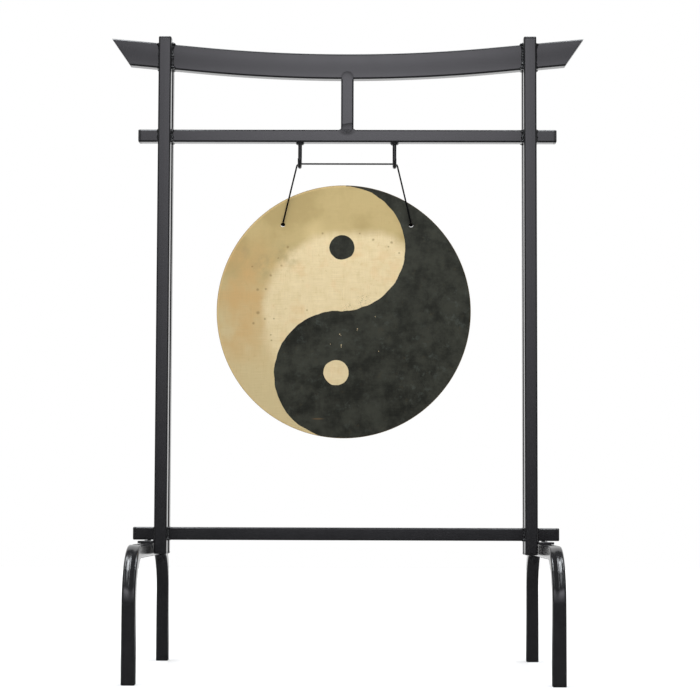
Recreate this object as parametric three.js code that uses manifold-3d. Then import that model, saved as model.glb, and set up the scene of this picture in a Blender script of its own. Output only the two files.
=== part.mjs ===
// Steel gong stand in the shape of a torii gate, with its gong hung on a cord between two hooks.
// Millimetres, +Z up. The origin is on the floor, midway between the four feet.
// The front of the stand faces -Y, and left is -X, as seen from the front.

import * as THREE from 'three';
import { mergeVertices } from 'three/addons/utils/BufferGeometryUtils.js';
import Module from 'manifold-3d';

const wasm = await Module();
wasm.setup();

// Square steel tube, used for posts, bars, strut and legs
const TUBE = 25.4;
const TUBE_WALL = 1.6;
const TUBE_CORNER = 2.5;
const CORNER_STEPS = 2;

// Clearances
const GAP = 0.3;
const OVERRUN = 30;
const SINK = 0.5;

// Legs, each one tube bent to an upside-down U that runs from front to back
const LEG_HEIGHT = 254.2;
const FOOT_SPACING = 609.6;
const LEG_BEND_RADIUS = 92;
const LEG_BEND_STEPS = 7;
const LEG_CLEARANCE = 2.85;

// Plates between the legs and the frame, each tapped for two screws
const PLATE_MARGIN = 3.45;
const PLATE_THICKNESS = 6.4;

// Socket screws that hold each leg from inside its crown
const SCREW_DIAMETER = 8;
const SCREW_HEAD_DIAMETER = 13;
const SCREW_HEAD_HEIGHT = 8;
const SOCKET_WIDTH = 6;
const SOCKET_DEPTH = 4;
const SCREW_SPACING = 50.8;
const WASHER_DIAMETER = 16;
const WASHER_THICKNESS = 1.6;
const ACCESS_HOLE = 18;
const SCREW_SIDES = 16;

// Posts, a front and a rear one on each side with the bars held between them. They drop below
// the bottom bar, and rise above the middle of the beam.
const POST_SPACING = 731;
const POST_DROP = 23.5;
const POST_RISE = 50.6;

// Bars, which reach past the posts
const BOTTOM_BAR_OVERHANG = 39.2;
const CROSS_BAR_OVERHANG = 37;
const BAR_SPACING = 797;
const STRUT_LENGTH = 102.8;

// Top beam, a flat-sided tube rolled to a long curve with straight ends cut at a slant
const BEAM_HEIGHT = 50.8;
const BEAM_OVERHANG = 97.4;
const BEAM_RADIUS = 3125;
const BEAM_BEND_ANGLE = THREE.MathUtils.degToRad(5.45);
const BEAM_MITRE = THREE.MathUtils.degToRad(40);
const BEAM_STEPS = 12;
const END_PLATE = 1.6;

// Plastic caps and plugs pushed into the open tube ends
const CAP_HEAD = 5;
const FOOT_HEAD = 4;
const CAP_EDGE = 1;
const CAP_INSERT = 14;
const CAP_CORNER_STEPS = 1;

// Weld beads, by the leg of each fillet and how far its face swells, as a share of the leg
const BEAD = 4.5;
const BEAD_SWELL_SHARE = 0.62;

// Hooks, round bar bent to a J and welded under the cross bar
const HOOK_ROD = 7.9;
const HOOK_SPACING = 190;
const HOOK_BEND_RADIUS = 12;
const HOOK_DROP = 50.5;
const HOOK_TIP = 3;
const HOOK_SIDES = 12;
const HOOK_BEND_STEPS = 12;
const TIP_DOME = 1.5;
const COLLAR_DIAMETER = 19;
const COLLAR_HEIGHT = 4.5;

// Gong, a shallow dished disc with two holes near the upper edge
const GONG_DIAMETER = 508;
const GONG_THICKNESS = 2;
const GONG_DISH = 15;
const GONG_SIDES = 96;
const GONG_RINGS = 4;
const GONG_OFFSET = -6;
const HOLE_DIAMETER = 9;
const HOLE_SPACING = 256.6;
const HOLE_INSET = 38.2;
const HOLE_SIDES = 16;

// Cord, one length that rises from one hole, runs over both hooks and drops to the other hole.
// Its bends are a little wider than the hook's rod, which lifts its run off the hook.
const CORD_DIAMETER = 3.2;
const CORD_LIFT = 0.5;
const CORD_DROP = 120.1;
const CORD_SIDES = 8;
const CORD_STEP = 9;
const CORD_Y = -12;
const CORD_ROUTE = [
  [-127.9, CORD_Y, 894.9],
  [-126.3, CORD_Y, 901.5],
  [-118.9, CORD_Y, 932.6],
  [-110, CORD_Y, 970.3],
  [-102.6, CORD_Y, 1001.3],
  [-101, CORD_Y, 1008.1],
  [-100.4, CORD_Y, 1009.6],
  [-99.2, CORD_Y, 1011.2],
  [-97.1, CORD_Y, 1012.65],
  [-94.6, CORD_Y, 1013.15],
  [-90, CORD_Y, 1013.15],
  [-47, CORD_Y, 1013.15],
  [0, CORD_Y, 1013.15],
  [47, CORD_Y, 1013.15],
  [90, CORD_Y, 1013.15],
  [94.6, CORD_Y, 1013.15],
  [97.1, CORD_Y, 1012.65],
  [99.2, CORD_Y, 1011.2],
  [100.4, CORD_Y, 1009.6],
  [101, CORD_Y, 1008.1],
  [102.6, CORD_Y, 1001.3],
  [110, CORD_Y, 970.3],
  [118.9, CORD_Y, 932.6],
  [126.3, CORD_Y, 901.5],
  [127.9, CORD_Y, 894.9],
];

// Knots behind the gong, each with a neck that comes through the hole
const KNOT_DIAMETER = 11;
const KNOT_LENGTH = 9;
const KNOT_SIDES = 12;
const NECK_STEPS = 3;
const KNOT_STEPS = 7;

// Heights and places worked out from the sizes above
const HALF_TUBE = TUBE / 2;
const BOTTOM_BAR_UNDERSIDE = LEG_HEIGHT + PLATE_THICKNESS;
const BOTTOM_BAR_HEIGHT = BOTTOM_BAR_UNDERSIDE + HALF_TUBE;
const CROSS_BAR_HEIGHT = BOTTOM_BAR_HEIGHT + BAR_SPACING;
const CROSS_BAR_UNDERSIDE = CROSS_BAR_HEIGHT - HALF_TUBE;
const STRUT_FOOT = CROSS_BAR_HEIGHT + HALF_TUBE;
const BEAM_UNDERSIDE = STRUT_FOOT + STRUT_LENGTH + GAP;
const BEAM_MIDDLE = BEAM_UNDERSIDE + BEAM_HEIGHT / 2;
const POST_FOOT = BOTTOM_BAR_UNDERSIDE - POST_DROP;
const POST_HEAD = BEAM_MIDDLE + POST_RISE;
const POST_X = POST_SPACING / 2;
const POST_Y = TUBE;
const POST_OUTSIDE = POST_X + HALF_TUBE;
const BEAM_SPAN = (POST_OUTSIDE + BEAM_OVERHANG) * 2;
const LEG_X = POST_OUTSIDE + LEG_CLEARANCE + HALF_TUBE;
const PLATE_WIDTH = LEG_CLEARANCE + TUBE + PLATE_MARGIN;
const PLATE_LENGTH = (POST_Y + HALF_TUBE) * 2;
const CROWN_HEIGHT = LEG_HEIGHT - HALF_TUBE;
const HOOK_X = HOOK_SPACING / 2;
const HOOK_LOW = CROSS_BAR_UNDERSIDE - HOOK_DROP;
const HANG_Y = -HOOK_BEND_RADIUS;
const CORD_RADIUS = CORD_DIAMETER / 2;
const CORD_TOP = HOOK_LOW + HOOK_ROD / 2 + CORD_LIFT + CORD_RADIUS;
const EYE_HEIGHT = CORD_TOP - CORD_DROP;
const EYE_X = HOLE_SPACING / 2;
const HOLE_RISE = Math.sqrt((GONG_DIAMETER / 2 - HOLE_INSET) ** 2 - EYE_X ** 2);
const HOLE_HEIGHT = EYE_HEIGHT - (HOLE_DIAMETER / 2 - CORD_RADIUS - GAP);
const GONG_HEIGHT = HOLE_HEIGHT - HOLE_RISE;
const GONG_Y = HANG_Y - (GONG_DISH + GONG_THICKNESS) / 2;
const SCREW_LENGTH = WASHER_THICKNESS + TUBE_WALL + PLATE_THICKNESS - GAP;

// Finishes
const black_steel = { color: 0x2b2b2d, roughness: 0.38, metalness: 0.3 };
const black_plastic = { color: 0x1d1d1e, roughness: 0.5, metalness: 0 };
const zinc_steel = { color: 0xa7a9ab, roughness: 0.35, metalness: 1 };
const painted_brass = { color: 0xb59a62, roughness: 0.42, metalness: 0.6 };
const black_cord = { color: 0x141416, roughness: 0.85, metalness: 0 };

const stand = new THREE.Group();

function place(name, geometry, finish, x, y, z) {
  const mesh = new THREE.Mesh(geometry, new THREE.MeshStandardMaterial(finish));
  mesh.name = name;
  mesh.position.set(x, y, z);
  stand.add(mesh);
  return mesh;
}

// Solids for cutting and joining

function solidOf(geometry) {
  const bare = geometry.clone();
  bare.deleteAttribute('normal');
  bare.deleteAttribute('uv');
  const merged = mergeVertices(bare, GAP / 1000);
  const mesh = new wasm.Mesh({
    numProp: 3,
    vertProperties: new Float32Array(merged.attributes.position.array),
    triVerts: new Uint32Array(merged.index.array),
  });
  return new wasm.Manifold(mesh);
}

function geometryOf(solid) {
  const mesh = solid.getMesh();
  const geometry = new THREE.BufferGeometry();
  geometry.setAttribute('position', new THREE.BufferAttribute(mesh.vertProperties, 3));
  geometry.setIndex(new THREE.BufferAttribute(mesh.triVerts, 1));
  return geometry;
}

function join(first, others) {
  const solid = others.reduce((sum, piece) => sum.add(solidOf(piece)), solidOf(first));
  return geometryOf(solid);
}

function cut(first, others) {
  const solid = others.reduce((rest, piece) => rest.subtract(solidOf(piece)), solidOf(first));
  return geometryOf(solid);
}

// Sections

function roundedRectangle(width, height, corner) {
  const x = width / 2 - corner;
  const y = height / 2 - corner;
  const shape = new THREE.Shape();
  shape.absarc(x, y, corner, 0, Math.PI / 2);
  shape.absarc(-x, y, corner, Math.PI / 2, Math.PI);
  shape.absarc(-x, -y, corner, Math.PI, Math.PI * 1.5);
  shape.absarc(x, -y, corner, Math.PI * 1.5, Math.PI * 2);
  shape.closePath();
  return shape;
}

function tubeSection(width, height) {
  const section = roundedRectangle(width, height, TUBE_CORNER);
  const inside = TUBE_WALL * 2;
  section.holes.push(roundedRectangle(width - inside, height - inside, TUBE_CORNER - TUBE_WALL));
  return section;
}

function discSection(radius, sides) {
  const corners = Array.from({ length: sides }, (_, i) => {
    const angle = ((i + 0.5) / sides) * Math.PI * 2;
    return new THREE.Vector2(Math.cos(angle) * radius, Math.sin(angle) * radius);
  });
  return new THREE.Shape(corners);
}

function extrude(shape, depth, steps) {
  return new THREE.ExtrudeGeometry(shape, { depth, bevelEnabled: false, curveSegments: steps });
}

// A straight tube that stands on the origin
function straightTube(length) {
  return extrude(tubeSection(TUBE, TUBE), length, CORNER_STEPS);
}

// The same laid along X, with its middle on the origin
function lyingTube(length) {
  return straightTube(length).translate(0, 0, -length / 2).rotateY(Math.PI / 2);
}

function cylinder(diameter, length, sides) {
  return new THREE.CylinderGeometry(diameter / 2, diameter / 2, length, sides).rotateX(Math.PI / 2);
}

// A route of straight runs and bends, with a section placed only where the route needs one
class Route extends THREE.Curve {
  constructor(stations) {
    super();
    this.stations = stations;
  }
  getPointAt(u) {
    return this.stations[Math.round(u * (this.stations.length - 1))].point.clone();
  }
  getTangentAt(u) {
    return this.stations[Math.round(u * (this.stations.length - 1))].tangent.clone();
  }
}

function alongRoute(shape, stations) {
  const settings = { steps: stations.length - 1, curveSegments: CORNER_STEPS };
  return new THREE.ExtrudeGeometry(shape, { ...settings, extrudePath: new Route(stations) });
}

// Stations round a bend in the plane of two directions, from one angle to another
function bend(centre, across, up, radius, from, to, steps) {
  return Array.from({ length: steps + 1 }, (_, i) => {
    const angle = from + ((to - from) * i) / steps;
    const turn = Math.sign(to - from);
    const point = centre.clone();
    point.addScaledVector(across, Math.cos(angle) * radius).addScaledVector(up, Math.sin(angle) * radius);
    const tangent = across.clone().multiplyScalar(-Math.sin(angle) * turn);
    tangent.addScaledVector(up, Math.cos(angle) * turn);
    return { point, tangent };
  });
}

function straightEnd(station, distance) {
  const point = station.point.clone().addScaledVector(station.tangent, distance);
  return { point, tangent: station.tangent.clone() };
}

const ALONG_X = new THREE.Vector3(1, 0, 0);
const ALONG_Y = new THREE.Vector3(0, 1, 0);
const ALONG_Z = new THREE.Vector3(0, 0, 1);

// A fillet weld in an inside corner: a prism with a slightly swollen face, along Z
function bead(length) {
  const shape = new THREE.Shape();
  shape.moveTo(-SINK, 0);
  shape.lineTo(BEAD, 0);
  const swell = BEAD * BEAD_SWELL_SHARE;
  shape.quadraticCurveTo(swell, swell, 0, BEAD);
  shape.lineTo(-SINK, BEAD);
  shape.closePath();
  return extrude(shape, length, CORNER_STEPS).translate(0, 0, -length / 2);
}

// The four beads where one bar end passes between a front and a rear post
function postBeads(postX, height, length) {
  const beads = [];
  for (const face of [-1, 1]) {
    for (const side of [-1, 1]) {
      const piece = bead(length);
      // The shape's first axis runs away from the bar and its second away from the post
      const outward = new THREE.Vector3(0, face, 0);
      const sideways = new THREE.Vector3(side, 0, 0);
      const upward = new THREE.Vector3().crossVectors(outward, sideways);
      piece.applyMatrix4(new THREE.Matrix4().makeBasis(outward, sideways, upward));
      beads.push(piece.translate(postX + side * HALF_TUBE, face * HALF_TUBE, height));
    }
  }
  return beads;
}

// A plastic cap: a square head with softened edges, and a block that fits inside the tube
function cap(head) {
  const face = roundedRectangle(TUBE, TUBE, TUBE_CORNER);
  const dome = new THREE.ExtrudeGeometry(face, {
    depth: head - CAP_EDGE * 2,
    curveSegments: CAP_CORNER_STEPS,
    bevelThickness: CAP_EDGE,
    bevelSize: CAP_EDGE,
    bevelOffset: -CAP_EDGE,
    bevelSegments: 1,
  });
  const base = extrude(face, head - CAP_EDGE, CAP_CORNER_STEPS);
  const bore = TUBE - TUBE_WALL * 2 - GAP * 2;
  const block = roundedRectangle(bore, bore, TUBE_CORNER - TUBE_WALL);
  const insert = extrude(block, CAP_INSERT + CAP_EDGE, CAP_CORNER_STEPS).translate(0, 0, -CAP_INSERT);
  return join(base, [dome.translate(0, 0, CAP_EDGE), insert]);
}

// Posts

function addPosts() {
  for (const [row, y] of [['front', -POST_Y], ['rear', POST_Y]]) {
    for (const [side, x] of [['left', -POST_X], ['right', POST_X]]) {
      const name = `${row}_${side}_post`;
      place(name, straightTube(POST_HEAD - POST_FOOT), black_steel, x, y, POST_FOOT);
      place(`${name}_cap`, cap(CAP_HEAD), black_plastic, x, y, POST_HEAD);
      const plug = place(`${name}_plug`, cap(FOOT_HEAD), black_plastic, x, y, POST_FOOT);
      plug.rotation.x = Math.PI;
    }
  }
}

// Straight bars, with the weld beads that hold them between the posts

function addBar(name, overhang, height) {
  const length = (POST_OUTSIDE + overhang) * 2;
  const flat = TUBE - TUBE_CORNER * 2;
  const beads = [...postBeads(-POST_X, 0, flat), ...postBeads(POST_X, 0, flat)];
  place(name, join(lyingTube(length), beads), black_steel, 0, 0, height);
  for (const [side, sign] of [['left', -1], ['right', 1]]) {
    const end = place(`${name}_${side}_cap`, cap(CAP_HEAD), black_plastic, sign * length / 2, 0, height);
    end.rotation.y = sign * Math.PI / 2;
  }
}

// Top beam

function beamRise(x) {
  const arc = BEAM_RADIUS * Math.sin(BEAM_BEND_ANGLE);
  const away = Math.abs(x);
  if (away <= arc) {
    return BEAM_RADIUS - Math.sqrt(BEAM_RADIUS ** 2 - away ** 2);
  }
  return BEAM_RADIUS * (1 - Math.cos(BEAM_BEND_ANGLE)) + (away - arc) * Math.tan(BEAM_BEND_ANGLE);
}

function beamStations() {
  const middle = -Math.PI / 2;
  const centre = new THREE.Vector3(0, 0, BEAM_RADIUS);
  const from = middle - BEAM_BEND_ANGLE;
  const to = middle + BEAM_BEND_ANGLE;
  const curve = bend(centre, ALONG_X, ALONG_Z, BEAM_RADIUS, from, to, BEAM_STEPS);
  const run = BEAM_SPAN / 2 + OVERRUN - curve.at(-1).point.x;
  return [straightEnd(curve[0], -run), ...curve, straightEnd(curve.at(-1), run)];
}

// The block of space beyond a slanted cut through the right end of the beam
function beyondMitre(inset) {
  const size = BEAM_SPAN;
  const top = beamRise(BEAM_SPAN / 2) + BEAM_HEIGHT / 2 / Math.cos(BEAM_BEND_ANGLE);
  const block = new THREE.BoxGeometry(size, size, size).translate(size / 2 - inset, 0, 0);
  block.rotateY(BEAM_MITRE - BEAM_BEND_ANGLE);
  return block.translate(BEAM_SPAN / 2, 0, top);
}

function mirrored(geometry) {
  return geometry.clone().rotateZ(Math.PI);
}

function addBeam() {
  const stations = beamStations();
  const inset = END_PLATE + GAP;
  const ends = [beyondMitre(inset), mirrored(beyondMitre(inset))];
  const open = cut(alongRoute(tubeSection(TUBE, BEAM_HEIGHT), stations), ends);
  const flat = BEAM_HEIGHT - TUBE_CORNER * 2 - BEAD / 2;
  const rise = beamRise(POST_X);
  const beads = [...postBeads(-POST_X, rise, flat), ...postBeads(POST_X, rise, flat)];
  place('top_beam', join(open, beads), black_steel, 0, 0, BEAM_MIDDLE);

  const full = solidOf(alongRoute(roundedRectangle(TUBE, BEAM_HEIGHT, TUBE_CORNER), stations));
  const slab = solidOf(beyondMitre(END_PLATE)).subtract(solidOf(beyondMitre(0)));
  const right = geometryOf(full.intersect(slab));
  place('top_beam_right_end', right, black_steel, 0, 0, BEAM_MIDDLE);
  place('top_beam_left_end', mirrored(right), black_steel, 0, 0, BEAM_MIDDLE);
}

// Strut between the cross bar and the top beam, with fillet welds at both ends

function addStrut() {
  const length = TUBE - TUBE_CORNER * 2;
  const beads = [];
  for (const side of [-1, 1]) {
    for (const [end, up] of [[0, 1], [STRUT_LENGTH, -1]]) {
      const outward = new THREE.Vector3(side, 0, 0);
      const lengthwise = new THREE.Vector3(0, 0, up);
      const across = new THREE.Vector3().crossVectors(outward, lengthwise);
      const piece = bead(length).applyMatrix4(new THREE.Matrix4().makeBasis(outward, lengthwise, across));
      beads.push(piece.translate(side * HALF_TUBE, 0, end));
    }
  }
  place('centre_strut', join(straightTube(STRUT_LENGTH), beads), black_steel, 0, 0, STRUT_FOOT);
}

// Legs with their feet, plates, screws and washers

function legStations() {
  const corner = FOOT_SPACING / 2 - LEG_BEND_RADIUS;
  const level = CROWN_HEIGHT - LEG_BEND_RADIUS;
  const front = new THREE.Vector3(0, -corner, level);
  const rear = new THREE.Vector3(0, corner, level);
  const rising = bend(front, ALONG_Y, ALONG_Z, LEG_BEND_RADIUS, Math.PI, Math.PI / 2, LEG_BEND_STEPS);
  const falling = bend(rear, ALONG_Y, ALONG_Z, LEG_BEND_RADIUS, Math.PI / 2, 0, LEG_BEND_STEPS);
  const run = level - FOOT_HEAD;
  return [straightEnd(rising[0], -run), ...rising, ...falling, straightEnd(falling.at(-1), run)];
}

function screw() {
  const head = SCREW_HEAD_DIAMETER / 2;
  const shank = SCREW_DIAMETER / 2;
  const profile = [
    new THREE.Vector2(0, -SCREW_HEAD_HEIGHT),
    new THREE.Vector2(head, -SCREW_HEAD_HEIGHT),
    new THREE.Vector2(head, 0),
    new THREE.Vector2(shank, 0),
    new THREE.Vector2(shank, SCREW_LENGTH),
    new THREE.Vector2(0, SCREW_LENGTH),
  ];
  const body = new THREE.LatheGeometry(profile, SCREW_SIDES).rotateX(Math.PI / 2);
  const socket = cylinder(SOCKET_WIDTH / Math.cos(Math.PI / 6), SOCKET_DEPTH * 2, 6);
  return cut(body, [socket.translate(0, 0, -SCREW_HEAD_HEIGHT)]);
}

function washer() {
  const outer = WASHER_DIAMETER / 2;
  const inner = SCREW_DIAMETER / 2 + GAP;
  const profile = [
    new THREE.Vector2(inner, -WASHER_THICKNESS),
    new THREE.Vector2(outer, -WASHER_THICKNESS),
    new THREE.Vector2(outer, 0),
    new THREE.Vector2(inner, 0),
    new THREE.Vector2(inner, -WASHER_THICKNESS),
  ];
  return new THREE.LatheGeometry(profile, SCREW_SIDES).rotateX(Math.PI / 2);
}

function addLegs() {
  const bore = SCREW_DIAMETER + GAP * 2;
  const rows = [['front', -1], ['rear', 1]];
  const seat = LEG_HEIGHT - TUBE_WALL;
  for (const [side, sign] of [['left', -1], ['right', 1]]) {
    const x = sign * LEG_X;
    const holes = [];
    const taps = [];
    const plateX = sign * (POST_OUTSIDE + PLATE_WIDTH / 2);
    for (const [, end] of rows) {
      const y = (end * SCREW_SPACING) / 2;
      const wall = TUBE_WALL * 2;
      holes.push(cylinder(bore, wall, SCREW_SIDES).translate(0, y, LEG_HEIGHT));
      holes.push(cylinder(ACCESS_HOLE, wall + TUBE_WALL, SCREW_SIDES).translate(0, y, LEG_HEIGHT - TUBE));
      const tap = cylinder(bore, PLATE_THICKNESS * 2, SCREW_SIDES);
      taps.push(tap.translate(x - plateX, y, PLATE_THICKNESS / 2));
    }
    const arch = cut(alongRoute(tubeSection(TUBE, TUBE), legStations()), holes);
    place(`${side}_leg`, arch, black_steel, x, 0, 0);

    const blank = new THREE.BoxGeometry(PLATE_WIDTH, PLATE_LENGTH, PLATE_THICKNESS);
    const plate = cut(blank.translate(0, 0, PLATE_THICKNESS / 2), taps);
    place(`${side}_leg_plate`, plate, black_steel, plateX, 0, LEG_HEIGHT);

    for (const [row, end] of rows) {
      const y = (end * SCREW_SPACING) / 2;
      const footY = (end * FOOT_SPACING) / 2;
      const foot = place(`${side}_leg_${row}_foot`, cap(FOOT_HEAD), black_plastic, x, footY, FOOT_HEAD);
      foot.rotation.x = Math.PI;
      place(`${side}_leg_${row}_washer`, washer(), zinc_steel, x, y, seat);
      place(`${side}_leg_${row}_screw`, screw(), zinc_steel, x, y, seat - WASHER_THICKNESS);
    }
  }
}

// Hooks

function hook() {
  const bendTop = HOOK_BEND_RADIUS - HOOK_DROP;
  const centre = new THREE.Vector3(0, HANG_Y, bendTop);
  const turn = bend(centre, ALONG_Y, ALONG_Z, HOOK_BEND_RADIUS, 0, -Math.PI, HOOK_BEND_STEPS);
  const stations = [straightEnd(turn[0], bendTop), ...turn, straightEnd(turn.at(-1), HOOK_TIP)];
  const rod = alongRoute(discSection(HOOK_ROD / 2, HOOK_SIDES), stations);

  const tip = new THREE.SphereGeometry(HOOK_ROD / 2 - SINK, HOOK_SIDES, HOOK_SIDES / 2).rotateX(Math.PI / 2);
  tip.scale(1, 1, TIP_DOME / (HOOK_ROD / 2 - SINK)).translate(0, HANG_Y * 2, bendTop + HOOK_TIP);

  const outer = COLLAR_DIAMETER / 2;
  const inner = HOOK_ROD / 2;
  const profile = [
    new THREE.Vector2(0, 0),
    new THREE.Vector2(0, -COLLAR_HEIGHT),
    new THREE.Vector2(inner, -COLLAR_HEIGHT),
    new THREE.Vector2((inner + outer) / 2, -COLLAR_HEIGHT / 3),
    new THREE.Vector2(outer, 0),
    new THREE.Vector2(0, 0),
  ];
  const collar = new THREE.LatheGeometry(profile, HOOK_SIDES).rotateX(Math.PI / 2);
  return join(rod, [tip, collar]);
}

function addHooks() {
  place('left_hook', hook(), black_steel, -HOOK_X, 0, CROSS_BAR_UNDERSIDE);
  place('right_hook', hook(), black_steel, HOOK_X, 0, CROSS_BAR_UNDERSIDE);
}

// Gong

function gongFace(radius) {
  return GONG_DISH * (radius / (GONG_DIAMETER / 2)) ** 2;
}

function addGong() {
  const edge = GONG_DIAMETER / 2;
  const radii = Array.from({ length: GONG_RINGS + 1 }, (_, i) => (edge * i) / GONG_RINGS);
  const front = radii.map((r) => new THREE.Vector2(r, gongFace(r)));
  const back = radii.map((r) => new THREE.Vector2(r, gongFace(r) + GONG_THICKNESS)).reverse();
  const disc = new THREE.LatheGeometry([...front, ...back], GONG_SIDES);

  const depth = (GONG_DISH + GONG_THICKNESS) * 2;
  const hole = new THREE.CylinderGeometry(HOLE_DIAMETER / 2, HOLE_DIAMETER / 2, depth, HOLE_SIDES);
  const holes = [-EYE_X, EYE_X].map((x) => hole.clone().translate(x - GONG_OFFSET, 0, HOLE_RISE));
  place('gong', cut(disc, holes), painted_brass, GONG_OFFSET, GONG_Y, GONG_HEIGHT);
}

// Cord and knots

function cordStations() {
  const corners = CORD_ROUTE.map((point) => new THREE.Vector3(...point));
  const points = [corners[0]];
  for (let i = 1; i < corners.length; i += 1) {
    const from = corners[i - 1];
    const pieces = Math.ceil(from.distanceTo(corners[i]) / CORD_STEP);
    for (let step = 1; step <= pieces; step += 1) {
      points.push(from.clone().lerp(corners[i], step / pieces));
    }
  }
  return points.map((point, i) => {
    const before = points[Math.max(i - 1, 0)];
    const after = points[Math.min(i + 1, points.length - 1)];
    const arriving = point.clone().sub(before).normalize();
    const leaving = after.clone().sub(point).normalize();
    return { point, tangent: arriving.add(leaving).normalize() };
  });
}

// A neck with a round front end at the eye, and a swollen knot beyond it, along Y
function knot(neck) {
  const middle = neck + KNOT_LENGTH / 2;
  const start = Math.asin(CORD_DIAMETER / KNOT_DIAMETER);
  const nose = Array.from({ length: NECK_STEPS + 1 }, (_, i) => {
    const angle = ((i / NECK_STEPS) * Math.PI) / 2;
    return new THREE.Vector2(Math.sin(angle) * CORD_RADIUS, -Math.cos(angle) * CORD_RADIUS);
  });
  const ball = Array.from({ length: KNOT_STEPS + 1 }, (_, i) => {
    const angle = start + ((Math.PI - start) * i) / KNOT_STEPS;
    const radius = i === KNOT_STEPS ? 0 : (Math.sin(angle) * KNOT_DIAMETER) / 2;
    return new THREE.Vector2(radius, middle - (Math.cos(angle) * KNOT_LENGTH) / 2);
  });
  return new THREE.LatheGeometry([...nose, ...ball], KNOT_SIDES);
}

function addCord() {
  const section = discSection(CORD_RADIUS, CORD_SIDES);
  place('hanging_cord', alongRoute(section, cordStations()), black_cord, 0, 0, 0);
  for (const [side, x] of [['left', -EYE_X], ['right', EYE_X]]) {
    const radius = Math.hypot(x - GONG_OFFSET, EYE_HEIGHT - GONG_HEIGHT);
    const back = GONG_Y + gongFace(radius) + GONG_THICKNESS;
    place(`${side}_knot`, knot(back + GAP * 2 - HANG_Y), black_cord, x, HANG_Y, EYE_HEIGHT);
  }
}

addPosts();
addBar('bottom_bar', BOTTOM_BAR_OVERHANG, BOTTOM_BAR_HEIGHT);
addBar('cross_bar', CROSS_BAR_OVERHANG, CROSS_BAR_HEIGHT);
addBeam();
addStrut();
addLegs();
addHooks();
addGong();
addCord();

export default stand;
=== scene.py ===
# Steel gong stand in the shape of a torii gate, with its gong hung on a cord between two hooks.
# Metres, +Z up. The front of the stand faces -Y, and left is -X, as seen from the front.

import random
from itertools import product
from math import atan2, cos, exp, floor, pi, radians, sin, sqrt, tan, tau

import bmesh
import bpy
from mathutils import Matrix, Vector


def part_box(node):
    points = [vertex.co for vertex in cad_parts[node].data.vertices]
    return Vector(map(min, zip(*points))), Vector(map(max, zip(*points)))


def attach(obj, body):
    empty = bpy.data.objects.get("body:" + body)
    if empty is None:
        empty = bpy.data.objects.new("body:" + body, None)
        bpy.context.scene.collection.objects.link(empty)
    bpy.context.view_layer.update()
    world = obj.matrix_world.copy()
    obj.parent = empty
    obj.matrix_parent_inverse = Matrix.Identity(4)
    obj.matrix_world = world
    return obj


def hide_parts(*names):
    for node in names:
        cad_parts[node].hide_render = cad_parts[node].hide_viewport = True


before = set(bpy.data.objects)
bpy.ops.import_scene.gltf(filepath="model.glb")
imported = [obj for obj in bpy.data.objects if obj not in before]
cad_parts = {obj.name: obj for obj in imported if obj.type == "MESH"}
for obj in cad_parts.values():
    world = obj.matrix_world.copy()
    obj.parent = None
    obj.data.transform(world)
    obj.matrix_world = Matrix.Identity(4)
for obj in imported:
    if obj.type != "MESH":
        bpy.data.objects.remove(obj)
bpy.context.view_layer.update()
bpy.ops.object.select_all(action="DESELECT")

# Camera
# It stands low in front of the stand, a little to the right of its middle, and looks slightly up
# and to the left. The small upward shift of the lens keeps both the feet and the beam in the frame.
CAMERA_PLACE = Vector((0.0454, -4.0, 0.3201))
CAMERA_TURN = 0.0096
CAMERA_TILT = 0.0693
CAMERA_ROLL = 0.0033
CAMERA_SHIFT = 0.03
SENSOR = 36.0
FOCAL_LENGTH = 103.23

bpy.ops.object.camera_add(location=CAMERA_PLACE)
camera = bpy.context.object
camera.data.sensor_width = SENSOR
camera.data.lens = FOCAL_LENGTH
camera.data.shift_y = CAMERA_SHIFT
level = Matrix.Rotation(CAMERA_TURN, 3, "Z") @ Matrix.Rotation(pi / 2 + CAMERA_TILT, 3, "X")
camera.rotation_euler = (level @ Matrix.Rotation(CAMERA_ROLL, 3, "Z")).to_euler()
bpy.context.scene.camera = camera

# Cord
# One length of 3.2 mm black polyester cord, braided from sixteen strands. It rises from the left
# hole of the gong, runs over both hooks, which hold it apart, and drops to the right hole.
CORD_RADIUS = 0.0016
CORD_Y = -0.012
CORD_TOP = 1.01315
CORD_RISE = [
    (0.1279, 0.8949), (0.1263, 0.9015), (0.1189, 0.9326), (0.1100, 0.9703), (0.1026, 1.0013),
    (0.1010, 1.0081), (0.1004, 1.0096), (0.0992, 1.0112), (0.0971, 1.01265),
    (0.0946, CORD_TOP), (0.0900, CORD_TOP), (0.0470, CORD_TOP),
]
CORD_ROUTE = [(-x, CORD_Y, z) for x, z in CORD_RISE] + [(0.0, CORD_Y, CORD_TOP)]
CORD_ROUTE += [(x, CORD_Y, z) for x, z in reversed(CORD_RISE)]
STRANDS_EACH_WAY = 8
STRAND_RISE = 0.00016
BRAID_PITCH = 0.0105
CORD_SIDES = 32
CORD_STEP = 0.00042
NOSE_START = 0.02
FIBRE_GRAIN = (160.0, 40.0, 1.0)
BRAID_DARK = (0.0012, 0.0012, 0.0015, 1)
BRAID_LIGHT = (0.004, 0.004, 0.0046, 1)


class Value:
    """One output of a shader node. Arithmetic on it adds Math nodes."""

    def __init__(self, tree, output):
        self.tree = tree
        self.output = output

    def __add__(self, other):
        return self.tree.math("ADD", self, other)

    __radd__ = __add__

    def __sub__(self, other):
        return self.tree.math("SUBTRACT", self, other)

    def __rsub__(self, other):
        return self.tree.math("SUBTRACT", other, self)

    def __mul__(self, other):
        return self.tree.math("MULTIPLY", self, other)

    def __truediv__(self, other):
        return self.tree.math("DIVIDE", self, other)

    def __pow__(self, other):
        return self.tree.math("POWER", self, other)


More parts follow.
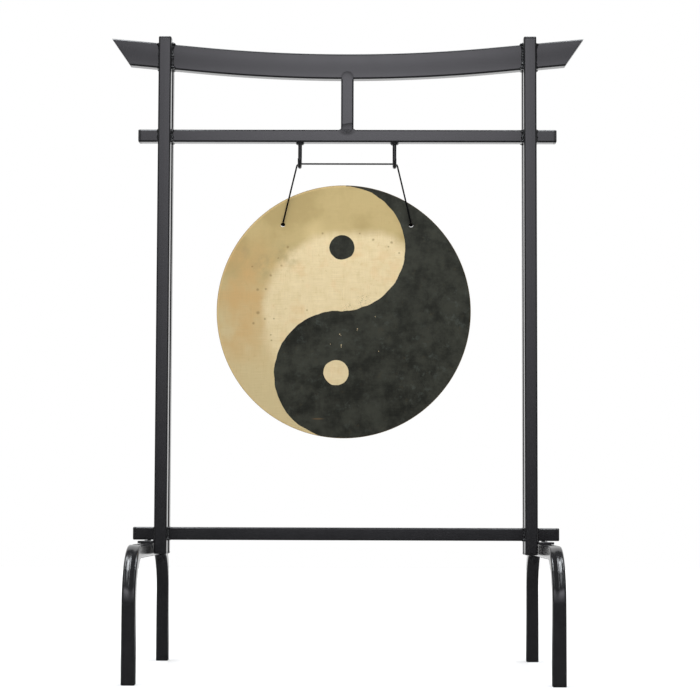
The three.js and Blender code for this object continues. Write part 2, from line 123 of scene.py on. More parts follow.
class Tree:
    """The nodes of a material or of the world."""

    def __init__(self, node_tree):
        self.nodes = node_tree.nodes
        self.links = node_tree.links

    def feed(self, socket, value):
        if isinstance(value, Value):
            self.links.new(value.output, socket)
        else:
            socket.default_value = value

    def add(self, kind, settings=None, inputs=None, output=0):
        """Adds a shader node: its settings first, then the values or links of its sockets."""
        made = self.nodes.new("ShaderNode" + kind)
        for name, value in (settings or {}).items():
            setattr(made, name, value)
        for name, value in (inputs or {}).items():
            self.feed(made.inputs[name], value)
        return Value(self, made.outputs[output])

    def math(self, operation, *values):
        return self.add("Math", {"operation": operation}, dict(enumerate(values)))

    def vector(self, operation, *values, output=0):
        return self.add("VectorMath", {"operation": operation}, dict(enumerate(values)), output)

    def place(self, stretch=None):
        """Where a point of the piece is, in metres, with each axis stretched."""
        place = self.add("TexCoord", output="Object")
        return self.vector("MULTIPLY", place, stretch) if stretch else place

    def part(self, vector, axis):
        """The X, Y or Z of a vector."""
        return self.add("SeparateXYZ", {}, {0: vector}, axis)

    def noise(self, scale, detail=2.0, roughness=0.5, place=None, output=0):
        inputs = {"Vector": place or self.place(), "Scale": scale, "Detail": detail, "Roughness": roughness}
        return self.add("TexNoise", {}, inputs, output)

    def between(self, value, low, high):
        """0 where the value is under the low mark, 1 over the high one, and smooth between."""
        settings = {"interpolation_type": "SMOOTHSTEP"}
        return self.add("MapRange", settings, {"Value": value, "From Min": low, "From Max": high})

    def mix(self, share, first, second):
        """One colour where the share is 0, the other where it is 1."""
        return self.add("Mix", {"data_type": "RGBA"}, {0: share, 6: first, 7: second}, 2)


class Finish(Tree):
    """A finish as a node material. The shader's own sockets are named in the call."""

    def __init__(self, name, **sockets):
        self.material = bpy.data.materials.new(name)
        self.material.use_nodes = True
        super().__init__(self.material.node_tree)
        self.shader = self.nodes["Principled BSDF"]
        self.set(**sockets)

    def set(self, **sockets):
        for name, value in sockets.items():
            self.feed(self.shader.inputs[name.replace("_", " ").title().replace("Ior", "IOR")], value)

    def bump(self, height, strength, distance):
        inputs = {"Height": height, "Strength": strength, "Distance": distance}
        self.set(normal=self.add("Bump", {}, inputs))


def tint(red, green, blue):
    """A colour for a socket, from its values of 0 to 255 on the screen."""
    return (*(((value / 255 + 0.055) / 1.055) ** 2.4 for value in (red, green, blue)), 1)


def spaced(route, step):
    """Points an even step apart on a smooth curve through the route's points."""
    route = [Vector(point) for point in route]
    ends = [route[0] * 2 - route[1], *route, route[-1] * 2 - route[-2]]
    fine = []
    for a, b, c, d in zip(ends, ends[1:], ends[2:], ends[3:]):
        pieces = max(4, round((c - b).length / step * 2))
        for i in range(pieces):
            t = i / pieces
            fine.append(0.5 * ((2 * b) + (c - a) * t + (2 * a - 5 * b + 4 * c - d) * t * t
                               + (3 * b - a - 3 * c + d) * t ** 3))
    fine.append(route[-1])
    lengths = [0.0]
    for a, b in zip(fine, fine[1:]):
        lengths.append(lengths[-1] + (b - a).length)
    count = round(lengths[-1] / step)
    points, i = [], 0
    for k in range(count + 1):
        goal = lengths[-1] * k / count
        while i < len(fine) - 2 and lengths[i + 1] < goal:
            i += 1
        share = (goal - lengths[i]) / max(lengths[i + 1] - lengths[i], 1e-9)
        points.append(fine[i].lerp(fine[i + 1], min(share, 1.0)))
    return points


def strand_height(around, along):
    """How far the braid stands up at a place, from 0 to 1: strands run both ways, over and under."""
    first = STRANDS_EACH_WAY * around + STRANDS_EACH_WAY * along / BRAID_PITCH
    second = STRANDS_EACH_WAY * around - STRANDS_EACH_WAY * along / BRAID_PITCH
    first_arch = sin(pi * (first - floor(first)))
    second_arch = sin(pi * (second - floor(second)))
    if (floor(first) + floor(second)) % 2:
        first_arch, second_arch = second_arch, first_arch
    return first_arch * (0.4 + 0.6 * second_arch)


def braided(name, points, nose=0.0):
    """A braided cord along the points. A nose is the length over which its start rounds off."""
    made = bmesh.new()
    braid_map = made.loops.layers.uv.new("braid")
    rings, along, alongs = [], 0.0, []
    side = (points[1] - points[0]).normalized().orthogonal()
    for i, point in enumerate(points):
        before, after = points[max(i - 1, 0)], points[min(i + 1, len(points) - 1)]
        ahead = (after - before).normalized()
        side = (side - ahead * side.dot(ahead)).normalized()
        across = ahead.cross(side)
        along += (point - points[i - 1]).length if i else 0.0
        alongs.append(along)
        rounding = sqrt(max(NOSE_START, 1 - (1 - along / nose) ** 2)) if along < nose else 1.0
        ring = []
        for j in range(CORD_SIDES):
            turn = tau * j / CORD_SIDES
            rise = CORD_RADIUS + STRAND_RISE * (strand_height(j / CORD_SIDES, along) - 0.5)
            ring.append(made.verts.new(point + (side * cos(turn) + across * sin(turn)) * rise * rounding))
        rings.append(ring)
    for i in range(len(rings) - 1):
        for j in range(CORD_SIDES):
            k = (j + 1) % CORD_SIDES
            face = made.faces.new((rings[i][j], rings[i][k], rings[i + 1][k], rings[i + 1][j]))
            corners = ((j, i), (j + 1, i), (j + 1, i + 1), (j, i + 1))
            for loop, (u, v) in zip(face.loops, corners):
                loop[braid_map].uv = (u / CORD_SIDES, alongs[v] / BRAID_PITCH)
            face.smooth = True
    made.faces.new(reversed(rings[0]))
    made.faces.new(rings[-1])
    mesh = bpy.data.meshes.new(name)
    made.to_mesh(mesh)
    made.free()
    cord = bpy.data.objects.new(name, mesh)
    bpy.context.scene.collection.objects.link(cord)
    return cord


braid = Finish("black_braid", specular_ior_level=0.1)
strands = braid.add("UVMap", {"uv_map": "braid"})
fibres = braid.noise(1.0, 3.0, 0.7, braid.vector("MULTIPLY", strands, FIBRE_GRAIN))
braid.set(roughness=0.62 + fibres * 0.3)
braid.set(base_color=braid.mix(fibres, BRAID_DARK, BRAID_LIGHT))
braid.bump(fibres, 0.5, 0.00006)

cord_points = spaced(CORD_ROUTE, CORD_STEP)
cord = braided("gong_cord", cord_points)
cord.data.materials.append(braid.material)

# Knots
# Behind the gong each end of the cord is tied in a stopper knot, two turns wound back over the
# cord with the tail left standing out. The knots carry the gong's weight against its back.
KNOT_COIL_RADIUS = 0.0033
KNOT_TURNS = 2
KNOT_PITCH = CORD_RADIUS * 2.1
KNOT_STEPS = 14
COIL_OPENS_OVER = 4
KNOT_LEAD = 0.004
KNOT_TURN_BACK = 0.001
KNOT_TAIL = 0.007
TAIL_LEAN = 0.35

SIDES = ("left", "right")
for side in SIDES:
    low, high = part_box(f"{side}_knot")
    sign = -1 if side == "left" else 1
    eye = Vector(((low.x + high.x) / 2, low.y, (low.z + high.z) / 2))
    back = high.y - CORD_RADIUS
    front = back - KNOT_PITCH * KNOT_TURNS
    route = [Vector((eye.x, y, eye.z)) for y in (eye.y, eye.y + KNOT_LEAD, front, back - KNOT_TURN_BACK)]
    for i in range(KNOT_STEPS * KNOT_TURNS + 1):
        turn = tau * i / KNOT_STEPS
        reach = KNOT_COIL_RADIUS * min(1.0, (i + 1) / COIL_OPENS_OVER)
        depth = back - (back - front) * i / (KNOT_STEPS * KNOT_TURNS)
        route.append(Vector((eye.x + reach * cos(turn) * sign, depth, eye.z + reach * sin(turn))))
    out = Vector((sign * TAIL_LEAN, TAIL_LEAN, 1.0)).normalized()
    route += [route[-1] + out * KNOT_TAIL * 0.5, route[-1] + out * KNOT_TAIL]
    knot = braided(f"{side}_stopper_knot", spaced(route, CORD_STEP), CORD_RADIUS)
    knot.data.materials.append(braid.material)
    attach(knot, "hung_gong")
    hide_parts(f"{side}_knot")

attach(cord, "cord")
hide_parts("hanging_cord")

# Posts
# Four posts of 1 inch square steel tube with a 1.6 mm wall, sawn to length. They stand in front of
# and behind the bars, and are powder coated in satin black once the whole stand is welded.
TUBE = 0.0254
TUBE_WALL = 0.0016
TUBE_CORNER = 0.0034
CORNER_STEPS = 6
TUBE_END = 0.0007
EDGE_STEPS = 3
SMOOTH_ANGLE = radians(32)
TINY = 1e-5
LEVEL = 0.99
COAT_DARK = (0.0100, 0.0100, 0.0108, 1)
COAT_LIGHT = (0.0150, 0.0150, 0.0162, 1)


def coated(name, lines=(1, 1, 1), shape=None):
    """Black powder coat over the faint lines of the drawn tube, and over a low shape in millimetres."""
    coat = Finish(name, specular_ior_level=0.62)
    orange_peel = coat.noise(620.0, 1.5, 0.4)
    flow = coat.noise(38.0, 3.0, 0.55)
    drawn = coat.noise(1.0, 3.0, 0.6, coat.place(lines))
    coat.set(roughness=0.13 + flow * 0.08)
    coat.set(base_color=coat.mix(flow, COAT_DARK, COAT_LIGHT))
    height = orange_peel * 0.018 + flow * 0.036 + drawn * 0.03
    coat.bump(height + shape(coat) if shape else height, 1.0, 0.001)
    return coat


powder = coated("satin_powder_coat")
upright_powder = coated("powder_coat_upright", (160, 160, 3))


def added(name="scratch", scale=None):
    """The object that was just added, with its place and its scale made part of its mesh."""
    piece = bpy.context.object
    if scale:
        piece.scale = scale
    bpy.ops.object.transform_apply(location=True, rotation=True, scale=True)
    piece.name = piece.data.name = name
    return piece


def only(piece):
    """Leaves one piece selected and active."""
    bpy.ops.object.select_all(action="DESELECT")
    bpy.context.view_layer.objects.active = piece
    piece.select_set(True)


def edit(piece):
    only(piece)
    bpy.ops.object.mode_set(mode="EDIT")


def leave():
    bpy.ops.object.mode_set(mode="OBJECT")


def begin(name, low, high):
    """A block between two corners, in edit mode."""
    low, high = Vector(low), Vector(high)
    bpy.ops.mesh.primitive_cube_add(size=1, location=(low + high) / 2, scale=high - low)
    block = added(name)
    edit(block)
    return block


def pick(kind, test):
    """Selects the vertices, edges or faces of the piece in edit mode for which the test holds."""
    bpy.ops.mesh.select_mode(type=kind)
    bpy.ops.mesh.select_all(action="DESELECT")
    data = bpy.context.object.data
    mesh = bmesh.from_edit_mesh(data)
    for item in {"VERT": mesh.verts, "EDGE": mesh.edges, "FACE": mesh.faces}[kind]:
        if test(item):
            item.select_set(True)
    bmesh.update_edit_mesh(data)


def pick_all():
    bpy.ops.mesh.select_all(action="SELECT")


def runs_along(axis):
    return lambda edge: abs((edge.verts[0].co - edge.verts[1].co).normalized()[axis]) > LEVEL


def faces_along(axis):
    return lambda face: abs(face.normal[axis]) > LEVEL


def round_off(size, steps=EDGE_STEPS):
    """Rounds the picked edges of the piece in edit mode."""
    bpy.ops.mesh.bevel(offset=size, segments=steps, affect="EDGES")


def modify(piece, kind, **settings):
    """Adds a modifier to a piece in object mode and applies it."""
    only(piece)
    modifier = piece.modifiers.new(kind.lower(), kind)
    for name, value in settings.items():
        setattr(modifier, name, value)
    bpy.ops.object.modifier_apply(modifier=modifier.name)


def hollow(piece):
    """Gives an open skin the wall of the tube, inwards."""
    modify(piece, "SOLIDIFY", thickness=TUBE_WALL, offset=-1, use_even_offset=True)


def settle(piece, finish, slot, body, *nodes):
    """Ends the work on a piece: shading, finish, the body it rides on and the nodes it stands for."""
    only(piece)
    bpy.ops.object.shade_smooth_by_angle(angle=SMOOTH_ANGLE)
    modify(piece, "WEIGHTED_NORMAL", keep_sharp=True)
    if finish:
        piece.data.materials.clear()
        piece.data.materials.append(finish.material)
    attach(piece, body)
    if nodes:
        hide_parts(*nodes)


def settle_steel(piece, coat, *nodes):
    settle(piece, coat, "black_steel", "stand", *nodes)


def copied(piece, name, matrix):
    """A copy with a mesh of its own, moved by the matrix."""
    twin = piece.copy()
    twin.data = piece.data.copy()
    twin.name = twin.data.name = name
    bpy.context.scene.collection.objects.link(twin)
    twin.data.transform(matrix)
    if matrix.determinant() < 0:
        twin.data.flip_normals()
    return twin


def joined(pieces, name):
    """Several objects made one."""
    bpy.ops.object.select_all(action="DESELECT")
    for piece in pieces:
        piece.select_set(True)
    bpy.context.view_layer.objects.active = pieces[0]
    bpy.ops.object.join()
    pieces[0].name = pieces[0].data.name = name
    return pieces[0]


def outer_rim(edge, low, high, axis):
    """Whether an edge lies on the outer rim of a tube's end."""
    first, second = (vert.co for vert in edge.verts)
    runs_off = abs(first[axis] - second[axis]) > TINY
    if runs_off or min(abs(first[axis] - end[axis]) for end in (low, high)) > TINY:
        return False
    away = (first + second) / 2 - (low + high) / 2
    away[axis] = 0
    return max(abs(part) for part in away) > TUBE / 2 - TUBE_WALL * 0.75


def square_tube(name, low, high, axis):
    """A length of square tube with rounded corners, a real wall and open ends."""
    tube = begin(name, low, high)
    pick("EDGE", runs_along(axis))
    round_off(TUBE_CORNER, CORNER_STEPS)
    pick("FACE", faces_along(axis))
    bpy.ops.mesh.delete(type="ONLY_FACE")
    leave()
    hollow(tube)
    edit(tube)
    pick("EDGE", lambda edge: outer_rim(edge, low, high, axis))
    round_off(TUBE_END)
    leave()
    return tube


ROWS = ("front", "rear")
POSTS = [f"{row}_{side}_post" for row, side in product(ROWS, SIDES)]
for node in POSTS:
    low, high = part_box(node)
    settle_steel(square_tube(f"{node}_tube", low, high, 2), upright_powder, node)

# Bars
# The bottom bar and the cross bar are the same square tube, laid between the front and rear posts
# and reaching past them. The leg plates are under the ends of the bottom bar.
BARS = ("bottom_bar", "cross_bar")
FLARE_SIZE = (0.020, 0.013)
FLARE_CORE = 0.2
FLARE_RISE = 0.30
GRINDING = 0.50

strut_low, strut_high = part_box("centre_strut")
strut_low.x, strut_high.x = -TUBE / 2, TUBE / 2


def ground_flare(coat):
    """The weld of the strut's foot, ground smooth: it spreads over the bar, with marks of the disc."""
    wide, tall = FLARE_SIZE
    flat = coat.place((1 / wide, 0, 1 / tall))
    spread = coat.vector("DISTANCE", flat, (0, 0, strut_low.z / tall), output="Value")
    return (1 - coat.between(spread, FLARE_CORE, 1.0)) * (FLARE_RISE + coat.noise(560.0) * GRINDING)


level_powder = coated("powder_coat_level", (3, 160, 160), ground_flare)
for node in BARS:
    low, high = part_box(node)
    low.y, high.y = -TUBE / 2, TUBE / 2
    settle_steel(square_tube(f"{node}_tube", low, high, 0), level_powder, node)

# Top beam
# A 2 by 1 inch steel tube rolled on edge to a long upward curve. Its straight ends are cut at a
# slant, longer at the top, and a thin plate closes each of them.
BEAM_HEIGHT = 0.0508
BEAM_RADIUS = 3.125
BEAM_BEND_ANGLE = radians(5.45)
BEAM_STEPS = 40
MITRE = radians(40)
END_PLATE = 0.0016
END_GAP = 0.0003
OVERRUN = 0.05
BEAM_BOW = (-0.014, 0.022)
BEAM_BOW_STEP = 1.0
HALF_DISC_RADIUS = 0.0127
HALF_DISC_RAISED = 0.003
HALF_DISC_DEPTH = 0.42

low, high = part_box("top_beam_right_end")
mitre_top = Vector((high.x, 0, high.z))
mitre_way = Vector((cos(MITRE - BEAM_BEND_ANGLE), 0, -sin(MITRE - BEAM_BEND_ANGLE)))
beam_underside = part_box("top_beam")[0].z
beam_middle = beam_underside + BEAM_HEIGHT / 2
bend_centre = Vector((0, 0, beam_middle + BEAM_RADIUS))
slope = Vector((cos(BEAM_BEND_ANGLE), 0, sin(BEAM_BEND_ANGLE)))
arc_end = bend_centre + Vector((sin(BEAM_BEND_ANGLE), 0, -cos(BEAM_BEND_ANGLE))) * BEAM_RADIUS


def section(name, centre, width, depth, turn):
    """The rounded outline of a tube, as an open ring in edit mode. Unturned it lies flat."""
    bpy.ops.mesh.primitive_plane_add(size=1, location=centre, rotation=turn)
    ring = added(name, (width, depth, 1))
    edit(ring)
    bpy.ops.mesh.select_mode(type="VERT")
    pick_all()
    bpy.ops.mesh.bevel(offset=TUBE_CORNER, segments=CORNER_STEPS, affect="VERTICES")
    bpy.ops.mesh.delete(type="ONLY_FACE")
    pick_all()
    return ring


def extend(way):
    bpy.ops.mesh.extrude_region_move(TRANSFORM_OT_translate={"value": way})


def cut_off(point, way):
    """Cuts away what lies beyond a plane, and closes the cut."""
    pick_all()
    bpy.ops.mesh.bisect(plane_co=point, plane_no=way, use_fill=True, clear_outer=True)


def turn_outwards(merge=False):
    """Turns the faces of the piece in edit mode outwards, once its doubles are merged, and leaves it."""
    pick_all()
    if merge:
        bpy.ops.mesh.remove_doubles(threshold=TINY / 10)
    bpy.ops.mesh.normals_make_consistent(inside=False)
    leave()


def beam_sides(coat):
    """The rolls left the sides a little bowed, and the strut's weld is ground to a hollow half disc."""
    side = coat.place((1, 0, 1))
    depth = coat.vector("DISTANCE", side, bend_centre, output="Value") - BEAM_RADIUS
    disc_middle = (0, 0, strut_high.z + HALF_DISC_RAISED)
    away = coat.vector("DISTANCE", side, disc_middle, output="Value") / HALF_DISC_RADIUS
    disc = coat.math("MINIMUM", away, 1.0) ** 3.0
    return coat.between(depth, *BEAM_BOW) * -BEAM_BOW_STEP + disc * HALF_DISC_DEPTH


rolled_powder = coated("powder_coat_rolled", (3, 160, 160), beam_sides)
beam = section("top_beam_tube", (0, 0, beam_middle), BEAM_HEIGHT, TUBE, (0, pi / 2, 0))
bpy.ops.mesh.spin(steps=BEAM_STEPS, angle=BEAM_BEND_ANGLE, center=bend_centre, axis=(0, 1, 0))
extend(slope * (mitre_top.x + OVERRUN - arc_end.x) / slope.x)
leave()
modify(beam, "MIRROR", use_axis=(True, False, False), merge_threshold=TINY)
edit(beam)
turn_outwards()

ends = []
for side, sign in (("left", -1), ("right", 1)):
    top = Vector((mitre_top.x * sign, 0, mitre_top.z))
    way = Vector((mitre_way.x * sign, 0, mitre_way.z))
    plate = copied(beam, f"top_beam_{side}_plate", Matrix.Identity(4))
    edit(plate)
    cut_off(top, way)
    cut_off(top - way * END_PLATE, -way)
    leave()
    ends.append((top, way, plate, f"top_beam_{side}_end"))

hollow(beam)
edit(beam)
for top, way, plate, node in ends:
    cut_off(top - way * (END_PLATE + END_GAP), way)
leave()
settle_steel(beam, rolled_powder, "top_beam")
for top, way, plate, node in ends:
    settle_steel(plate, powder, node)

# Centre strut
# A short length of the same square tube, set upright between the cross bar and the beam. The
# weld at its foot is ground smooth.
STEP_HEIGHT = 0.0125
STEP_SLANT = 0.17
STEP_FADE = 0.009
STEP_DEPTH = 1.2


def ground_step(coat):
    """The front falls back below a slanting line, at once at the line and slower further down."""
    line = coat.part(coat.place(), 0) * STEP_SLANT + (strut_low.z + STEP_HEIGHT)
    below = coat.math("MAXIMUM", line - coat.part(coat.place(), 2), 0.0)
    return coat.math("EXPONENT", below / -STEP_FADE) * STEP_DEPTH


strut_powder = coated("powder_coat_strut", (160, 160, 3), ground_step)
strut = square_tube("centre_strut_tube", strut_low, strut_high, 2)
settle_steel(strut, strut_powder, "centre_strut")

# Welds
# Fillet welds run by hand in the corners where the bars pass between the posts, each a row of
# overlapping drops of metal, and round both ends of the strut. The powder coat covers them.
DROP = 0.0046
DROP_VARIES = (0.74, 1.16)
DROP_PITCH = 0.0027
DROP_STRAYS = 0.0003
DROP_SHARE = 0.5
END_DROP_SHARE = 1.4
WELD_SINK = 0.0006
WELD_GRAIN = 0.0004
WELD_SMOOTHING = 2
STRUT_WELD_SHARE = 0.55
FILL_DEPTH = 0.0034
FILL_EDGE = 0.0007
HEAD_FILL_REACH = 0.0122
FOOT_FILL_REACH = 0.0155
chance = random.Random(11)


def drop(size, place, share=1.0):
    """A drop of weld metal, flattened along Z to the share."""
    bpy.ops.mesh.primitive_uv_sphere_add(segments=20, ring_count=12, radius=size, location=place,
                                         scale=(1, 1, share))
    return added()


def run_together(drops, name, smoothing):
    """Melts the drops to one bead, and leaves it in edit mode."""
    bead = joined(drops, name)
    modify(bead, "REMESH", mode="VOXEL", voxel_size=WELD_GRAIN)
    modify(bead, "SMOOTH", factor=0.5, iterations=smoothing)
    edit(bead)
    return bead


def weld(name, length, size_share=1.0):
    """One weld along Z in the corner between +X and -Y, at the origin."""
    count = round(length / DROP_PITCH)
    drops = []
    for i in range(count + 1):
        size = DROP * size_share * chance.uniform(*DROP_VARIES)
        if i in (0, count):
            size *= END_DROP_SHARE
        stray_x, stray_y = (chance.uniform(-DROP_STRAYS, DROP_STRAYS) for axis in "xy")
        place = (-WELD_SINK + stray_x, WELD_SINK + stray_y, length * (i / count - 0.5))
        drops.append(drop(size, place, DROP_SHARE))
    row = run_together(drops, name, WELD_SMOOTHING)
    cut_off((-WELD_SINK, 0, 0), (-1, 0, 0))
    cut_off((0, WELD_SINK, 0), (0, 1, 0))
    leave()
    return row


def level_welds(name, share, places, sides):
    """Welds that lie along Y in a level corner, each on the side that is given."""
    pattern = weld("pattern", flat, share)
    rows = []
    for place, side in zip(places, sides):
        lie = Matrix(((side, 0, 0), (0, 0, 1), (0, -1, 0))).to_4x4()
        rows.append(copied(pattern, "row", Matrix.Translation(place) @ lie))
    bpy.data.objects.remove(pattern)
    settle_steel(joined(rows, name), powder)


def corner_welds(name, height, length):
    """The eight welds where one bar passes between the four posts."""
    pattern = weld(f"{name}_weld", length)
    rows = []
    for x, side, face in product((-1, 1), repeat=3):
        spot = Vector((x * post_x + side * TUBE / 2, face * TUBE / 2, height))
        turn = Matrix.Diagonal((side, -face, 1, 1))
        rows.append(copied(pattern, "row", Matrix.Translation(spot) @ turn))
    bpy.data.objects.remove(pattern)
    settle_steel(joined(rows, f"{name}_welds"), powder)


def ground_fill(name, reach, bottom, top, finish):
    """The weld metal that fills the groove between the strut and a bar, flush in front and behind."""
    fills = []
    for face in (-1, 1):
        near, far = sorted((face * TUBE / 2, face * (TUBE / 2 - FILL_DEPTH)))
        fills.append(begin(name, (-reach, near, bottom), (reach, far, top)))
        pick("EDGE", runs_along(2))
        round_off(FILL_EDGE)
        leave()
    settle_steel(joined(fills, name), finish)


low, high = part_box("front_right_post")
post_x = (low.x + high.x) / 2
flat = TUBE - TUBE_CORNER
for node in BARS:
    low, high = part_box(node)
    corner_welds(node, (low.z + high.z) / 2, flat)
arc_reach = BEAM_RADIUS * sin(BEAM_BEND_ANGLE)
post_rise = BEAM_RADIUS * (1 - cos(BEAM_BEND_ANGLE)) + (post_x - arc_reach) * tan(BEAM_BEND_ANGLE)
corner_welds("top_beam", beam_middle + post_rise, BEAM_HEIGHT - TUBE_CORNER)

head_fill = (strut_high.z - FILL_EDGE, strut_high.z + FILL_DEPTH)
foot_fill = (strut_low.z - FILL_DEPTH, strut_low.z + FILL_EDGE)
ground_fill("strut_head_fill", HEAD_FILL_REACH, *head_fill, rolled_powder)
ground_fill("strut_foot_fill", FOOT_FILL_REACH, *foot_fill, level_powder)
sides = (-1, 1)
level_welds("strut_welds", STRUT_WELD_SHARE, [(side * TUBE / 2, 0, strut_low.z) for side in sides], sides)

# Caps and plugs
# Ribbed inserts of black polyethylene, knocked into every open tube end until the head lies on
# the rim. The leg plugs are the feet. Each head has softened edges and a faint moulded grain.
CAP_EDGE = 0.0022
CAP_EDGE_STEPS = 6
CAP_HEAD = 0.005
FOOT_HEAD = 0.004
CAP_INSERT = 0.014
CAP_RIBS = 3
RIB_SWELL = 1.022
RIB_STEPS = ((0.5, 1), (0.15, RIB_SWELL), (0.35, 1 / RIB_SWELL))
CAP_HOLLOW = 0.84
CAP_HOLLOW_DEPTH = CAP_INSERT * 0.8
CAP_FIT = 0.0003
PLASTIC_DARK = (0.0085, 0.0085, 0.009, 1)
PLASTIC_LIGHT = (0.0145, 0.0145, 0.0152, 1)

plastic = Finish("black_polyethylene")
cloud = plastic.noise(90.0, 3.0)
plastic.set(roughness=0.20 + cloud * 0.12)
plastic.set(base_color=plastic.mix(cloud, PLASTIC_DARK, PLASTIC_LIGHT))
plastic.bump(plastic.noise(2600.0, 2.0, 0.6), 0.3, 0.00005)


def draw_out(way, *swell, middle=(0, 0, 0)):
    """Extends what is picked, and then scales its end about a middle."""
    extend(way)
    bpy.ops.transform.resize(value=swell, center_override=middle)


def cap(name, head):
    """A cap on the origin with its head upwards and its ribbed block below."""
    half = TUBE / 2
    body = begin(name, (-half, -half, 0), (half, half, head))
    pick("EDGE", runs_along(2))
    round_off(TUBE_CORNER, CORNER_STEPS)
    pick("FACE", lambda face: face.normal.z > LEVEL)
    round_off(CAP_EDGE, CAP_EDGE_STEPS)
    pick("FACE", lambda face: face.normal.z < -LEVEL)
    bpy.ops.mesh.inset(thickness=TUBE_WALL + CAP_FIT * 2)
    for i in range(CAP_RIBS):
        for depth, swell in RIB_STEPS:
            draw_out((0, 0, -CAP_INSERT * depth / CAP_RIBS), swell, swell, 1)
    draw_out((0, 0, 0), CAP_HOLLOW, CAP_HOLLOW, 1)
    extend((0, 0, CAP_HOLLOW_DEPTH))
    leave()
    return body


caps = []
for node in POSTS:
    caps.append((f"{node}_cap", Matrix.Identity(4)))
    caps.append((f"{node}_plug", Matrix.Rotation(pi, 4, "X")))
for node in BARS:
    caps.append((f"{node}_left_cap", Matrix.Rotation(-pi / 2, 4, "Y")))
    caps.append((f"{node}_right_cap", Matrix.Rotation(pi / 2, 4, "Y")))
for side, row in product(SIDES, ROWS):
    caps.append((f"{side}_leg_{row}_foot", Matrix.Rotation(pi, 4, "X")))

patterns = {head: cap(f"cap_{i}", head) for i, head in enumerate((CAP_HEAD, FOOT_HEAD))}
for node, turn in caps:
    low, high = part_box(node)
    head = FOOT_HEAD if node.endswith(("plug", "foot")) else CAP_HEAD
    outward = turn @ Vector((0, 0, 1))
    middle = (low + high) / 2
    rim = Vector([(high if way > 0 else low)[i] - way * head if abs(way) > 0.5 else middle[i]
                  for i, way in enumerate(outward)])
    piece = copied(patterns[head], f"{node}_moulded", Matrix.Translation(rim) @ turn)
    settle(piece, plastic, "black_plastic", "stand", node)
for pattern in patterns.values():
    bpy.data.objects.remove(pattern)

# Legs
# Each leg is one length of the square tube bent twice to an upside-down U. Two wide holes in the
# underside of its crown let the screws and their key in, and two small ones take the screws.
LEG_BEND_RADIUS = 0.092
LEG_BEND_STEPS = 28
LEG_WALL_CUTS = 15
BEND_RAMP = radians(45)
SUNK_SHARE = 0.43
SUNK_TAIL = 0.03
SUNK_OUTSIDE = 0.0026
SUNK_INSIDE = 0.0009
SIDE_SWELL = 0.0002
WALL_NEAR = TUBE * 0.4
SCREW_PLACES = (-0.0254, 0.0254)
SCREW_HOLE = 0.0086
ACCESS_HOLE = 0.018
DRILL = TUBE_WALL * 4
HOLE_SIDES = 32


def bore(piece, centre, diameter, depth, sides=HOLE_SIDES, turn=(0, 0, 0)):
    """Drills a hole through a piece, upright unless it is turned."""
    bpy.ops.mesh.primitive_cylinder_add(vertices=sides, radius=diameter / 2, depth=depth, location=centre,
                                        rotation=turn)
    drill = added()
    modify(piece, "BOOLEAN", operation="DIFFERENCE", object=drill, solver="EXACT")
    bpy.data.objects.remove(drill)


def sink_bends(leg, middle, corner, level):
    """Draws in the outer and the inner wall of both bends between their edges, and swells the sides."""
    for vert in leg.data.vertices:
        way = 1 if vert.co.y > 0 else -1
        out = Vector((0, vert.co.y - way * corner, vert.co.z - level))
        turn = atan2(out.z, out.y * way)
        if not 0 < turn < pi / 2:
            continue
        ramp = min(1.0, min(turn, pi / 2 - turn) / BEND_RAMP)
        ramp = ramp * ramp * (3 - 2 * ramp)
        across = (vert.co.x - middle) / (TUBE / 2)
        deep = max(0.0, exp(-(across / SUNK_SHARE) ** 2) - SUNK_TAIL) * ramp
        rise = out.length - LEG_BEND_RADIUS
        if rise > WALL_NEAR:
            vert.co -= out.normalized() * SUNK_OUTSIDE * deep
        elif rise < -WALL_NEAR:
            vert.co += out.normalized() * SUNK_INSIDE * deep
        else:
            swell = max(0.0, 1 - (rise / (TUBE / 2)) ** 2) * ramp
            vert.co.x += SIDE_SWELL * swell * (1 if across > 0 else -1)


for side in SIDES:
    low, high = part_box(f"{side}_leg")
    foot = Vector(((low.x + high.x) / 2, low.y + TUBE / 2, low.z))
    crown = high.z - TUBE / 2
    straight = crown - LEG_BEND_RADIUS - low.z
    corner = high.y - TUBE / 2 - LEG_BEND_RADIUS
    leg = section(f"{side}_leg_tube", foot, TUBE, TUBE, (0, 0, 0))
    pick("EDGE", lambda edge: edge.calc_length() > TUBE / 2)
    bpy.ops.mesh.subdivide(number_cuts=LEG_WALL_CUTS)
    pick_all()
    extend((0, 0, straight))
    for y in (-corner, corner):
        centre = (foot.x, y, low.z + straight)
        bpy.ops.mesh.spin(steps=LEG_BEND_STEPS, angle=pi / 2, center=centre, axis=(1, 0, 0))
        extend((0, corner * 2, 0) if y < 0 else (0, 0, -straight))
    turn_outwards(merge=True)
    sink_bends(leg, foot.x, corner, low.z + straight)
    hollow(leg)
    for y in SCREW_PLACES:
        bore(leg, (foot.x, y, crown - TUBE / 2), ACCESS_HOLE, DRILL)
        bore(leg, (foot.x, y, crown + TUBE / 2), SCREW_HOLE, DRILL)
    settle_steel(leg, powder, f"{side}_leg")

# Leg plates
# Flat steel under each end of the bottom bar, tapped for the two screws. Each plate is welded to
# the outer sides of its two posts, and a thin gap is left between it and the bar.
PLATE_EDGE = 0.0006
PLATE_GAP = 0.0019
PLATE_WELD_SHARE = 0.6

